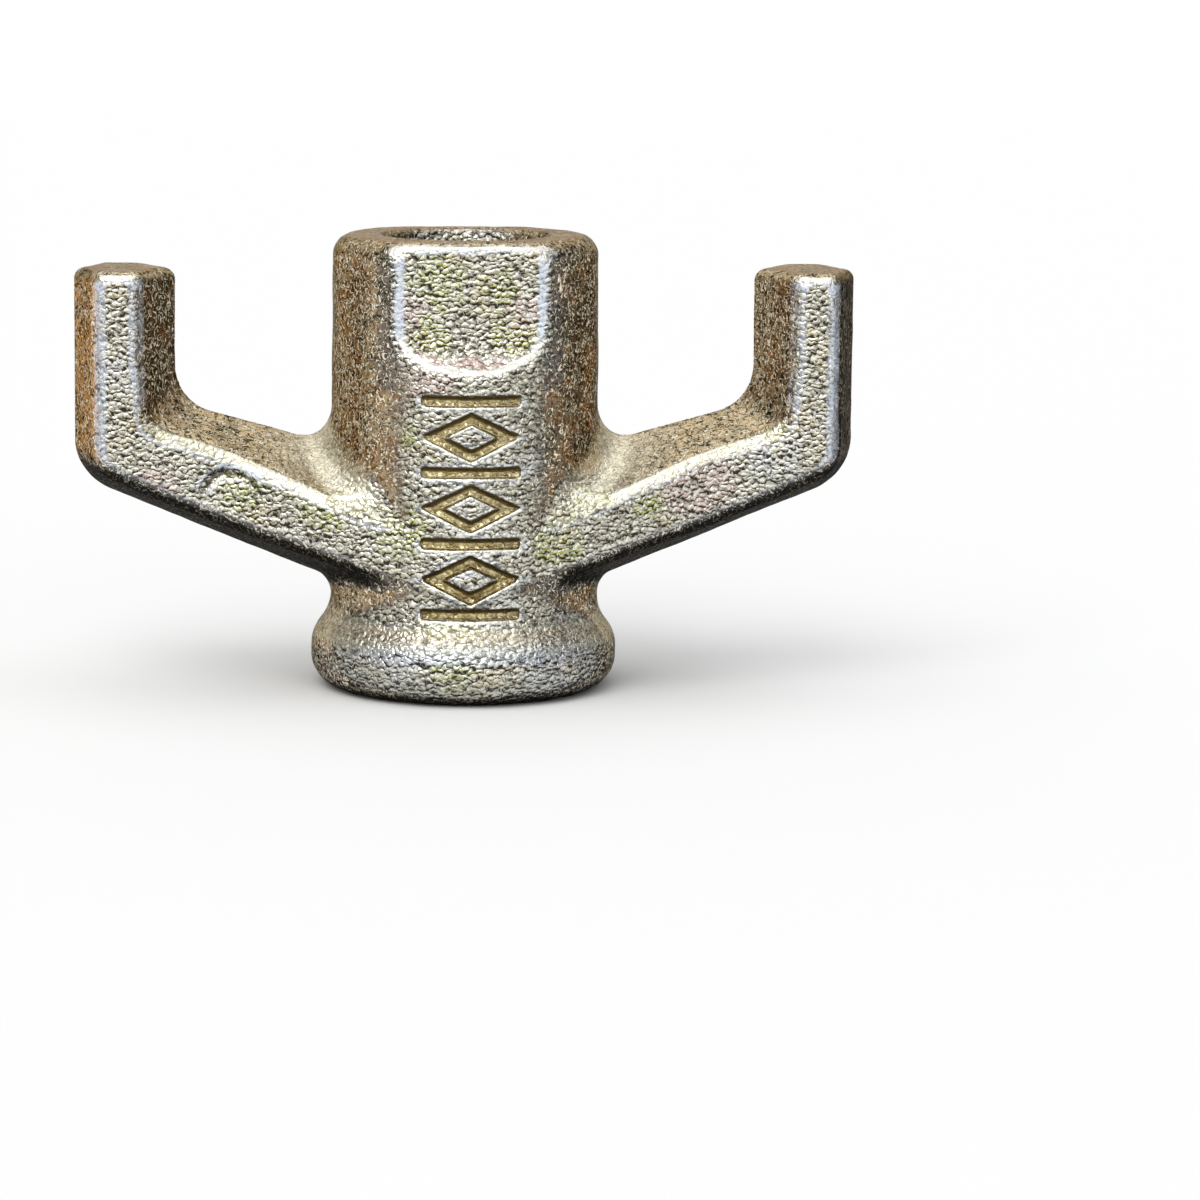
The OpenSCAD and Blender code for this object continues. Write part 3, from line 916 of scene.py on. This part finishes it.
# the room as the metal sees it: dim, with soft boxes in front, overhead, at the left and behind
def buildWorld():
    world = bpy.data.worlds.new("studioWorld")
    world.use_nodes = True
    tree = world.node_tree
    way = Flow.node(tree, "TexCoord", out="Generated")
    x, y, z = [Flow.node(tree, "SeparateXYZ", None, {0: way}, axis) for axis in "XYZ"]
    height = z.math("ARCSINE", z) * (180 / math.pi)
    fromFront = x.math("ARCTAN2", x, 0 - y) * (180 / math.pi)
    edge = studio["softEdge"]

    def band(value, low, high):
        rising = value.between(low - edge / 2, low + edge / 2)
        return rising * value.between(high + edge / 2, high - edge / 2)

    light, half, heights = studio["front"]
    colour = (band(fromFront, -half, half) * band(height, *heights)).blend(studio["dim"], light)
    light, half, heights = studio["left"]
    fromLeft = fromFront + studio["leftTurn"]
    colour = (band(fromLeft, -half, half) * band(height, *heights)).blend(colour, light)
    light, half, heights = studio["back"]
    start = 180 - half
    behind = abs(fromFront).between(start - studio["backEdge"], start + studio["backEdge"])
    colour = (behind * band(height, *heights)).blend(colour, light)
    light, half = studio["top"]
    colour = height.between(90 - half - edge / 2, 90 - half + edge / 2).blend(colour, light)
    tree.links.new(colour.socket, tree.nodes["Background"].inputs["Color"])
    bpy.context.scene.world = world


def buildKey():
    strength, width, way = studio["key"]
    light = bpy.data.lights.new("key", "SUN")
    light.energy = strength
    light.angle = math.radians(width)
    lamp = bpy.data.objects.new("key", light)
    lamp.rotation_mode = "QUATERNION"
    lamp.rotation_quaternion = Vector(way).to_track_quat("Z", "Y")
    bpy.context.scene.collection.objects.link(lamp)


# angles in degrees, distances in metres
camera = {
    "azimuth": -2.895,      # from the front, towards the right
    "elevation": 7.879,
    "roll": 0.383,
    "distance": 0.5232,
    "aimHeight": 0.026,
    "lens": 125.7,
    "shift": (0.1131, -0.1027),
}


def placeCamera():
    azimuth, elevation, roll = (math.radians(camera[k]) for k in ("azimuth", "elevation", "roll"))
    back = Vector((
        math.sin(azimuth) * math.cos(elevation), -math.cos(azimuth) * math.cos(elevation),
        math.sin(elevation)))
    right = Vector((math.cos(azimuth), math.sin(azimuth), 0))
    up = back.cross(right)
    lens = bpy.data.cameras.new("camera")
    lens.lens = camera["lens"]
    lens.sensor_width = 36
    lens.shift_x, lens.shift_y = camera["shift"]
    lens.clip_start = 0.01
    eye = bpy.data.objects.new("camera", lens)
    turnedRight = right * math.cos(roll) + up * math.sin(roll)
    turnedUp = up * math.cos(roll) - right * math.sin(roll)
    axes = Matrix((turnedRight, turnedUp, back)).transposed()
    spot = Vector((0, 0, camera["aimHeight"])) + back * camera["distance"]
    eye.matrix_world = Matrix.Translation(spot) @ axes.to_4x4()
    bpy.context.scene.collection.objects.link(eye)
    bpy.context.scene.camera = eye


nut = buildSkin()
nut.data.materials.append(platedSteel())
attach(nut, "root")
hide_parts("wing_nut")
buildFloor()
buildWall()
buildWorld()
buildKey()
placeCamera()
bpy.context.scene.view_settings.view_transform = "Standard"
print("scene: studio and camera")
